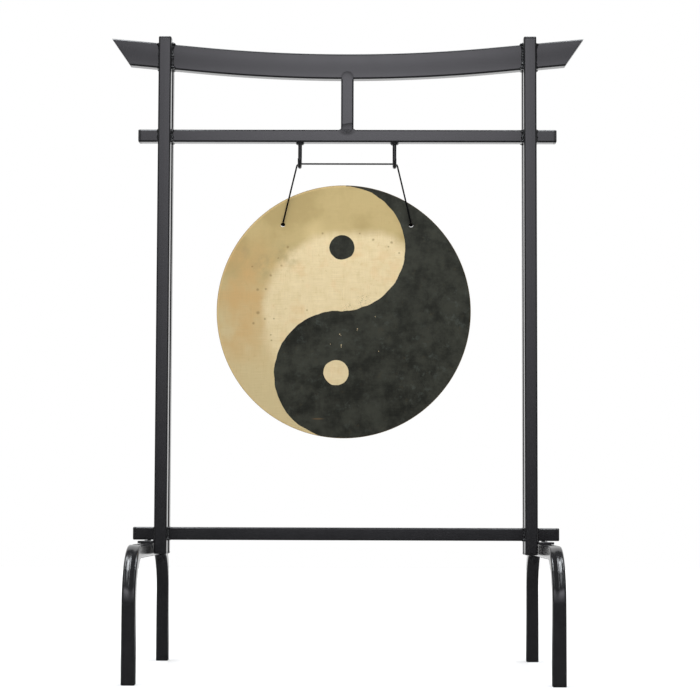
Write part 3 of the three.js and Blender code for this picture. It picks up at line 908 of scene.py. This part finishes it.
for side in SIDES:
    node = f"{side}_leg_plate"
    low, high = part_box(node)
    high.z -= PLATE_GAP
    plate = begin(f"{node}_steel", low, high)
    pick("EDGE", lambda edge: True)
    round_off(PLATE_EDGE)
    leave()
    leg_x = sum(corner.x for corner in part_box(f"{side}_leg")) / 2
    for y in SCREW_PLACES:
        bore(plate, (leg_x, y, (low.z + high.z) / 2), SCREW_HOLE, TUBE)
    settle_steel(plate, powder, node)
    sign, inner = (-1, high.x) if side == "left" else (1, low.x)
    places = [(inner, post_y, high.z) for post_y in (-TUBE, TUBE)]
    level_welds(f"{node}_welds", PLATE_WELD_SHARE, places, (sign, sign))

# Screws and washers
# M8 socket screws with a plain washer under each head, zinc plated, which hold each leg to its
# plate from inside the crown.
ZINC_DARK = (0.40, 0.41, 0.43, 1)
ZINC_LIGHT = (0.56, 0.57, 0.58, 1)

zinc = Finish("zinc_plate", metallic=1.0)
plating = zinc.noise(260.0, 3.0, 0.6)
zinc.set(roughness=0.22 + plating * 0.2)
zinc.set(base_color=zinc.mix(plating, ZINC_DARK, ZINC_LIGHT))
for side, row, kind in product(SIDES, ROWS, ("screw", "washer")):
    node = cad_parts[f"{side}_leg_{row}_{kind}"]
    node.data.materials.clear()
    node.data.materials.append(zinc.material)

# Hooks
# Each hook is 7.9 mm round bar bent to a J, with its tip ground round, and welded under the cross
# bar with a ring of weld. The mouth opens to the front and to the top.
HOOK_ROD = 0.0079
HOOK_BEND_RADIUS = 0.012
HOOK_TIP = 0.003
HOOK_SIDES = 32
HOOK_BEND_STEPS = 28
TIP_DOME = 0.0015
TIP_STEPS = 5
TIP_BLUNT = 0.4
RING_DROPS = 15
RING_DROP = 0.0031
RING_DROP_VARIES = (0.85, 1.2)
RING_RADIUS = 0.0052
RING_SMOOTHING = 3

for side in SIDES:
    node = f"{side}_hook"
    low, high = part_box(node)
    x = (low.x + high.x) / 2
    bend_middle = Vector((x, -HOOK_BEND_RADIUS, low.z + HOOK_ROD / 2 + HOOK_BEND_RADIUS))
    tip = bend_middle + Vector((0, -HOOK_BEND_RADIUS, HOOK_TIP))
    bpy.ops.mesh.primitive_circle_add(vertices=HOOK_SIDES, radius=HOOK_ROD / 2, fill_type="NGON",
                                      location=(x, 0, high.z))
    rod = added(f"{node}_rod")
    edit(rod)
    bpy.ops.mesh.select_mode(type="FACE")
    pick_all()
    extend((0, 0, bend_middle.z - high.z))
    bpy.ops.mesh.spin(steps=HOOK_BEND_STEPS, angle=pi, center=bend_middle, axis=(1, 0, 0))
    extend((0, 0, HOOK_TIP))
    for i in range(TIP_STEPS):
        start, end = (pi / 2 * k / (TIP_STEPS + TIP_BLUNT) for k in (i, i + 1))
        draw_out((0, 0, TIP_DOME * (sin(end) - sin(start))), *(cos(end) / cos(start),) * 3, middle=tip)
    turn_outwards(merge=True)

    drops = []
    for i in range(RING_DROPS):
        turn = tau * i / RING_DROPS
        place = (x + cos(turn) * RING_RADIUS, sin(turn) * RING_RADIUS, high.z - RING_DROP / 4)
        drops.append(drop(RING_DROP * chance.uniform(*RING_DROP_VARIES), place))
    ring = run_together(drops, f"{node}_weld", RING_SMOOTHING)
    cut_off((0, 0, high.z + END_GAP), (0, 0, 1))
    leave()
    settle_steel(ring, powder)
    settle_steel(rod, powder, node)

# Gong
# A 20 inch disc of 2 mm brass, hammered to a shallow dish and turned bright, which bulges towards
# the front. The yin-yang is brushed on its face in thin black paint, and its back is left bare.
# The light and shade of the dish are painted into the brass colour of the face: a lighter centre,
# a darker ring, and painted reflections and highlights on them.
GONG_DIAMETER = 0.508
GONG_THICKNESS = 0.002
GONG_DISH = 0.015
GONG_SIDES = 240
GONG_RINGS = 26
HOLE_DIAMETER = 0.009
HOLE_SPACING = 0.2566
HOLE_INSET = 0.0382
GONG_HOLE_SIDES = 48
UPRIGHT = (pi / 2, 0, 0)

# The marks on the face, in millimetres from its centre: across, up, radius, and where given the
# width over which the mark fades.
MM = 0.001
UPPER_LOBE = (-3.8, 126.0, 126.5)
LOWER_LOBE = (-11.7, -127.1, 126.4)
PAINTED_DOT = (-3.5, 127.5, 25.0)
BARE_DOT = (-14.6, -123.9, 25.0)
HALVES_X = -1.0
HALVES_LEAN = 0.019
PAINT_EDGE = 0.5
SPLASHES = [(9, 5, 12, 12), (42, 17, 15, 16)]
BARE_TICKS = [
    (-4.4, -68.5, 0.8), (-4.4, -70.5, 0.7), (-4.3, -73, 0.6), (27.6, -36.5, 0.8), (27.0, -39.5, 0.5),
    (-7.4, -47.2, 0.9), (-5.0, -50, 0.5), (-26, -67, 0.5), (63, -12, 0.6), (70, -81, 0.6),
]
TICK_EDGE = 0.5
TARNISH_SPOTS = [
    (-172, 42.5, 1.9), (-155.5, 43.5, 1.5), (-171, -4, 2.3), (-180, -25, 1.7), (-157, -16.5, 1.4),
    (-146, 71, 1.7), (-124.5, 90.5, 1.5), (-112, 128, 1.7), (58.5, 143, 1.7), (95.5, 137.5, 1.8),
    (89, 129, 1.3), (110.5, 116.5, 1.3), (-42.5, 155.5, 1.5), (32, 155.5, 1.3), (-73, 1, 1.2),
    (-131, 106, 1.1), (-145, -48.5, 1.2), (-143.5, -59.5, 1.2), (-139, -16, 1.1), (-183, 89, 1.4),
]
SPOT_REACH = 1.3
SPOT_FADE = 1.8
# Painted reflection: a mottled warm orange patch on the left of the ring.
WARM_REFLECTION_SIDE = (-232, 22, 120, 130)
SMUDGES = [(-118, 112, 24, 46), (-158, 92, 22, 40), (-205, 120, 14, 30)]
# Painted highlight: a pale patch on the ring where it meets the lit centre at the top.
HIGHLIGHT_PATCH = (-60, 158, 16, 40)
RUST_MARK = (-51.0, -215.4)
RUST_FLATTENED = 0.14
RUST_FADE = (0.0005, 0.0022)
# Painted light and shade: inside a circle about this middle the brass is painted lighter, as if lit, and
# outside it darker, as painted shade and reflection on the sloping ring. Radii in millimetres.
LIT_CENTRE_MIDDLE = (10, -7)
LIT_CENTRE_REACH = (156, 184)
# Below this height, in metres from the centre, the shaded ring is painted lighter again, as a painted
# reflection of the floor.
LOWER_REFLECTION_FADE = (-0.06, 0.12)
# Painted highlight: a lighter band just inside the edge, in millimetres from the centre.
RIM_HIGHLIGHT_BAND = (249.0, 251.5)
# A darker thin line at the outermost edge of the face, in millimetres from the centre.
OUTERMOST_BAND = (252.8, 253.6)
ALONG_X = (26.0, 1.0, 1500.0)
ALONG_Z = (1500.0, 1.0, 26.0)
GROOVES = 1400.0

# The ground colours, each between two tints, and what lies over them: its strength and its tint.
# The lit and shaded brass, and the lower, warm, highlight and rim layers over them, are painted
# light and shade.
# Painted light and shade: the lit brass of the centre and the shaded brass of the ring.
LIT_BRASS = (tint(239, 220, 177), tint(229, 209, 161))
SHADED_BRASS = (tint(181, 160, 108), tint(197, 176, 123))
BLACK_PAINT = (tint(27, 28, 20), tint(53, 54, 45))
EDGE_BRASS = (tint(150, 112, 88), tint(196, 170, 122))
BACK_BRASS = (tint(206, 184, 132), tint(176, 148, 96))
# Painted reflection of the floor on the lower ring.
LOWER_REFLECTION = (1.0, tint(216, 197, 149))
# Painted reflection: the warm orange of the left side.
WARM_REFLECTION = (0.8, tint(210, 171, 114))
SMUDGED = (0.55, tint(158, 146, 104))
# Painted highlight at the top of the ring.
PAINTED_HIGHLIGHT = (0.5, tint(228, 206, 150))
BRUSHED = (0.26, tint(180, 156, 108))
TARNISHED = (0.6, tint(136, 110, 66))
STAINED = (0.22, tint(180, 150, 96))
HAZY = (0.35, tint(226, 190, 138))
# Painted highlight along the rim.
RIM_HIGHLIGHT = (0.5, tint(222, 192, 136))
# The darker thin line at the outermost edge.
OUTERMOST_LINE = (0.7, tint(118, 98, 66))
CHALKY = (0.45, tint(73, 79, 73))
STREAKED = (0.3, tint(58, 60, 52))
WORN = (0.35, tint(66, 58, 40))
RUSTED = (0.6, tint(104, 80, 48))

gong_low, gong_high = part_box("gong")
gong_centre = Vector(((gong_low.x + gong_high.x) / 2, gong_low.y, (gong_low.z + gong_high.z) / 2))
gong_edge = GONG_DIAMETER / 2


def dish(radius):
    return GONG_DISH * (radius / gong_edge) ** 2


bpy.ops.mesh.primitive_circle_add(vertices=GONG_SIDES, radius=gong_edge, fill_type="NOTHING",
                                  location=gong_centre + Vector((0, GONG_DISH, 0)), rotation=UPRIGHT)
gong = added("brass_gong")
edit(gong)
bpy.ops.mesh.select_mode(type="VERT")
pick_all()
for i in range(GONG_RINGS, 1, -1):
    outer, inner = (gong_edge * k / GONG_RINGS for k in (i, i - 1))
    draw_out((0, dish(inner) - dish(outer), 0), inner / outer, 1, inner / outer, middle=gong_centre)
bpy.ops.mesh.edge_face_add()
bpy.ops.mesh.poke()
turn_outwards()
if sum(face.normal.y * face.area for face in gong.data.polygons) > 0:
    gong.data.flip_normals()
modify(gong, "SOLIDIFY", thickness=GONG_THICKNESS, offset=-1)
hole_x = HOLE_SPACING / 2
hole_rise = sqrt((gong_edge - HOLE_INSET) ** 2 - hole_x ** 2)
for x in (-hole_x, hole_x):
    hole = (x, gong_centre.y, gong_centre.z + hole_rise)
    bore(gong, hole, HOLE_DIAMETER, GONG_DISH * 4, GONG_HOLE_SIDES, UPRIGHT)


class Face(Finish):
    """A finish of the gong. Places on it are in millimetres from its centre, right and up."""

    def __init__(self, name, **sockets):
        super().__init__(name, **sockets)
        self.flat = self.place((1, 0, 1))
        self.hand = self.flat

    def shaken(self, place, scale, reach, detail):
        """The place moved about by a noise, as far as the reach either way."""
        noise = self.noise(scale, detail, 0.55, place, "Color")
        drift = self.vector("SUBTRACT", noise, (0.5, 0.5, 0.5))
        return self.vector("ADD", place, self.vector("MULTIPLY", drift, (reach * 2, 0, reach * 2)))

    def away(self, x, z, place, flattened=None):
        """How far the place is from a point of the face, in metres. Flattened, X counts for less."""
        point = Vector((gong_centre.x + x * MM, 0, gong_centre.z + z * MM))
        if flattened:
            point.x *= flattened
            place = self.vector("MULTIPLY", place, (flattened, 1, 1))
        return self.vector("DISTANCE", place, point, output="Value")

    def disc(self, x, z, radius, edge, place=None):
        """1 inside a circle, 0 outside, over an edge of the given width."""
        distance = self.away(x, z, place or self.hand)
        return 1 - self.between(distance, (radius - edge / 2) * MM, (radius + edge / 2) * MM)

    def most(self, *masks):
        result = masks[0]
        for mask in masks[1:]:
            result = self.math("MAXIMUM", result, mask)
        return result

    def patches(self, noise, low, high):
        """Irregular patches of a noise, 1 where it is over the high mark."""
        return self.between(self.noise(*noise), low, high)

    def over(self, ground, *layers):
        """Lays further colours over the ground, each where its mask is."""
        for mask, (strength, colour) in layers:
            ground = self.mix(mask * strength, ground, colour)
        return ground


face = Face("painted_brass_face", specular_ior_level=0.25)
face.hand = face.shaken(face.flat, 34.0, 0.0026, 3.0)
upright = face.part(face.hand, 2) - gong_centre.z
halves = face.part(face.hand, 0) - (gong_centre.x + HALVES_X * MM) - upright * HALVES_LEAN
right_half = face.between(halves, -PAINT_EDGE * MM, PAINT_EDGE * MM)
lobes_and_dots = (UPPER_LOBE, LOWER_LOBE, PAINTED_DOT, BARE_DOT)
upper, lower, dot, bare = (face.disc(*mark, PAINT_EDGE) for mark in lobes_and_dots)
painted = face.most(right_half * (1 - upper), lower, dot) * (1 - bare)
ticks = face.most(*(face.disc(*tick, TICK_EDGE, face.flat) for tick in BARE_TICKS))
grit = face.patches((820.0, 1.0), 0.66, 0.70)
splashes = grit * face.most(*(face.disc(*splash) for splash in SPLASHES))
painted = face.most(painted * (1 - ticks), splashes)

across_brush = face.noise(1.0, 2.0, 0.6, face.place(ALONG_X))
upright_brush = face.noise(1.0, 2.0, 0.6, face.place(ALONG_Z))
brushed = across_brush * 0.55 + upright_brush * 0.45
cloud = face.noise(9.0, 4.0, 0.6)
fine_cloud = face.noise(55.0, 4.0, 0.65)
# Painted shade: outside the lit centre the ring gets the shaded brass, and inside it the lit brass.
centre_distance = face.away(*LIT_CENTRE_MIDDLE, face.shaken(face.flat, 11.0, 0.022, 3.0))
shaded_ring = face.between(centre_distance, LIT_CENTRE_REACH[0] * MM, LIT_CENTRE_REACH[1] * MM)
lower_reflection_share = 1 - face.between(upright, *LOWER_REFLECTION_FADE)
# Painted reflection: mottled warm orange on the left of the ring.
# Painted reflection: the lower part of the shaded ring is lighter.
warm_reflection_share = face.patches((13.0, 3.0, 0.6), 0.34, 0.66) * face.disc(*WARM_REFLECTION_SIDE)
smudges = face.most(*(face.disc(*smudge) for smudge in SMUDGES)) * face.between(fine_cloud, 0.3, 0.7)
spotted = face.shaken(face.flat, 260.0, 0.0012, 2.0)
spots = face.most(*(face.disc(x, z, size * SPOT_REACH, size * SPOT_FADE, spotted)
                    for x, z, size in TARNISH_SPOTS))
outer = face.away(0, 0, face.flat)
lit_brass_colour = face.mix(face.between(fine_cloud, 0.2, 0.85), *LIT_BRASS)
shaded_brass_colour = face.mix(face.between(cloud, 0.4, 0.6), *SHADED_BRASS)
metal = face.over(
    face.mix(shaded_ring, lit_brass_colour, face.over(shaded_brass_colour, (lower_reflection_share, LOWER_REFLECTION), (warm_reflection_share, WARM_REFLECTION))),
    (smudges, SMUDGED),
    # Painted highlight at the top of the ring.
    (face.disc(*HIGHLIGHT_PATCH) * shaded_ring, PAINTED_HIGHLIGHT),
    (face.between(brushed, 0.40, 0.62), BRUSHED),
    (spots, TARNISHED),
    (face.patches((120.0, 3.0, 0.6), 0.60, 0.74), STAINED),
    (face.patches((30.0, 2.0, 0.5), 0.5, 0.72) * (1 - shaded_ring), HAZY),
    # Painted highlight along the rim.
    (face.between(outer, RIM_HIGHLIGHT_BAND[0] * MM, RIM_HIGHLIGHT_BAND[1] * MM), RIM_HIGHLIGHT),
)

paint = face.over(
    face.mix(face.patches((24.0, 5.0, 0.68), 0.34, 0.66), *BLACK_PAINT),
    (face.patches((60.0, 4.0, 0.7), 0.54, 0.70) * face.between(cloud, 0.40, 0.58), CHALKY),
    (face.between(brushed, 0.44, 0.64), STREAKED),
    (face.patches((95.0, 4.0, 0.7), 0.60, 0.70), WORN),
    (1 - face.between(face.away(*RUST_MARK, face.flat, RUST_FLATTENED), *RUST_FADE), RUSTED),
)

# A darker thin line at the outermost edge of the face.
outermost_share = face.between(outer, OUTERMOST_BAND[0] * MM, OUTERMOST_BAND[1] * MM)
face.set(base_color=face.over(face.mix(painted, metal, paint), (outermost_share, OUTERMOST_LINE)))
face.set(metallic=(1 - painted) * 0.3)
face.set(roughness=0.40 + painted * 0.16 + fine_cloud * 0.12 - spots * 0.05)
face.bump(painted * 0.8 + brushed * 0.12 + fine_cloud * 0.5, 0.4, 0.00012)

edge = Finish("brass_edge", roughness=0.5, metallic=0.6)
edge.set(base_color=edge.mix(edge.noise(300.0, 3.0, 0.6), *EDGE_BRASS))

back = Face("turned_brass_back", metallic=0.7)
turned = back.add("CombineXYZ", {}, {0: back.away(0, 0, back.flat) * GROOVES})
grooves = back.noise(1.0, 3.0, 0.7, turned)
patina = back.between(back.noise(16.0, 5.0, 0.65), 0.35, 0.65)
back.set(base_color=back.mix(patina, *BACK_BRASS))
back.set(roughness=0.34 + grooves * 0.2)
back.bump(grooves, 0.5, 0.0001)

settle(gong, None, "painted_brass", "hung_gong", "gong")
gong.data.materials.clear()
for finish in (face, back, edge):
    gong.data.materials.append(finish.material)
for polygon in gong.data.polygons:
    polygon.material_index = 2 if abs(polygon.normal.y) < 0.7 else int(polygon.normal.y > 0)

# Floor and backdrop
# White studio paper on the floor and upright behind the stand. It keeps a soft shadow. In the
# steel's reflections the floor in front of the stand is the dark one of the room.
FLOOR_SIZE = 60.0
PAPER_COLOR = (0.86, 0.86, 0.86, 1)
ROOM_COLOR = (0.07, 0.07, 0.07, 1)
PAPER_START = (0.2, 2.4)
NEAR_GLOW = 0.08
FAR_GLOW = 0.50
GLOW_REACH = (0.8, 4.5)
BACKDROP_Y = 7.0
BACKDROP_HEIGHT = 9.0
SOFT_LIGHT = 0.92
ROOM_LIGHT = 0.10
BLACK = (0, 0, 0, 1)
WHITE = (1, 1, 1, 1)
MATT = {"roughness": 1.0, "specular_ior_level": 0.0}


def rays(tree, *kinds):
    """1 for the rays of these kinds, 0 for the others."""
    first, *others = (tree.add("LightPath", output=f"Is {kind} Ray") for kind in kinds)
    return tree.math("MINIMUM", sum(others, first), 1.0)


def sheet(name, middle, width, height, turn, finish):
    """A flat sheet of the studio."""
    bpy.ops.mesh.primitive_plane_add(size=1, location=middle, rotation=turn)
    made = added(name, (width, height, 1))
    made.data.materials.append(finish.material)


paper = Finish("studio_paper", emission_strength=1.0, **MATT)
shown = rays(paper, "Camera", "Glossy", "Transmission")
reach = paper.vector("LENGTH", paper.place(), output="Value")
glow = NEAR_GLOW + paper.between(reach, *GLOW_REACH) * (FAR_GLOW - NEAR_GLOW)
room = (1 - paper.between(paper.part(paper.place(), 1), *PAPER_START)) * rays(paper, "Glossy")
paper.set(base_color=paper.mix(room, PAPER_COLOR, ROOM_COLOR))
paper.set(emission_color=paper.mix(glow * shown * (1 - room), BLACK, WHITE))
sheet("studio_floor", (0, 0, 0), FLOOR_SIZE, FLOOR_SIZE, (0, 0, 0), paper)

sweep = Finish("backdrop_paper", base_color=BLACK, emission_strength=1.0, **MATT)
shown = rays(sweep, "Camera", "Glossy", "Transmission")
sweep.set(emission_color=sweep.mix(SOFT_LIGHT + shown * (1 - SOFT_LIGHT), BLACK, WHITE))
backdrop_middle = (0, BACKDROP_Y, BACKDROP_HEIGHT / 2)
sheet("studio_backdrop", backdrop_middle, FLOOR_SIZE / 2, BACKDROP_HEIGHT, UPRIGHT, sweep)

world = bpy.data.worlds.new("studio")
bpy.context.scene.world = world
world.use_nodes = True
studio = Tree(world.node_tree)
background = studio.nodes["Background"]
white = rays(studio, "Camera", "Transmission")
glossy = rays(studio, "Glossy")
studio.feed(background.inputs["Color"], WHITE)
studio.feed(background.inputs["Strength"], white + glossy * ROOM_LIGHT + (1 - white - glossy) * SOFT_LIGHT)

# Front light
# A tall diffuser behind the camera, brightest at its top and in its middle, so that the steel
# shades from grey at the beam to black at the feet. The camera sees through it.
DIFFUSER_Y = -6.5
DIFFUSER_WIDTH = 7.0
DIFFUSER_HEIGHT = 4.0
DIFFUSER_POWER = 4.2
DIFFUSER_RISE = 1.05
DIFFUSER_DARK_BELOW = 0.05
DIFFUSER_SPREAD = 1.46
DIFFUSER_FADE = (2.8, 4.0)
DIFFUSER_COLOR = (0.94, 0.925, 1.0, 1)

silk = Finish("diffuser_silk", base_color=BLACK, emission_strength=DIFFUSER_POWER, **MATT)
aside = silk.part(silk.place(), 0) / DIFFUSER_SPREAD
height = silk.part(silk.place(), 2)
rise = silk.math("MAXIMUM", (height - DIFFUSER_DARK_BELOW) * DIFFUSER_RISE, 0.0)
power = rise * silk.math("EXPONENT", aside * aside * -1.0) * (1 - silk.between(height, *DIFFUSER_FADE))
silk.set(emission_color=silk.mix(power / DIFFUSER_POWER, BLACK, DIFFUSER_COLOR))
clear = silk.add("BsdfTransparent")
unseen = rays(silk, "Camera", "Transmission")
veil = silk.add("MixShader", {}, {0: unseen, 1: Value(silk, silk.shader.outputs[0]), 2: clear})
silk.feed(silk.nodes["Material Output"].inputs["Surface"], veil)
diffuser_middle = (0, DIFFUSER_Y, DIFFUSER_HEIGHT / 2)
sheet("front_diffuser", diffuser_middle, DIFFUSER_WIDTH, DIFFUSER_HEIGHT, UPRIGHT, silk)

# Overhead lamps
# A small softbox above the middle, and two long narrow ones above the sides, dimmer towards the
# front. They draw the streaks on the legs' bends and light the upper edges of bars and caps.
# Each lamp: its place and width along X, its near and far ends along Y, and its radiance.
LAMP_HEIGHT = 2.75
LAMPS = [
    (0.0, 0.9, -0.2, 0.6, 5.0),
    (-0.66, 0.34, -1.1, 0.2, 14.0),
    (0.66, 0.34, -1.1, 0.2, 14.0),
    (-0.66, 0.34, -3.6, -1.3, 3.2),
    (0.66, 0.34, -3.6, -1.3, 3.2),
]
LAMP_COLOR = (0.92, 0.96, 1.0)

for x, width, near, far, radiance in LAMPS:
    bpy.ops.object.light_add(type="AREA", location=(x, (near + far) / 2, LAMP_HEIGHT))
    lamp = bpy.context.object
    lamp.name = "overhead_softbox"
    lamp.data.shape = "RECTANGLE"
    lamp.data.size, lamp.data.size_y = width, far - near
    lamp.data.energy = radiance * pi * width * (far - near)
    lamp.data.color = LAMP_COLOR
    lamp.visible_camera = False

bpy.context.scene.view_settings.view_transform = "Standard"
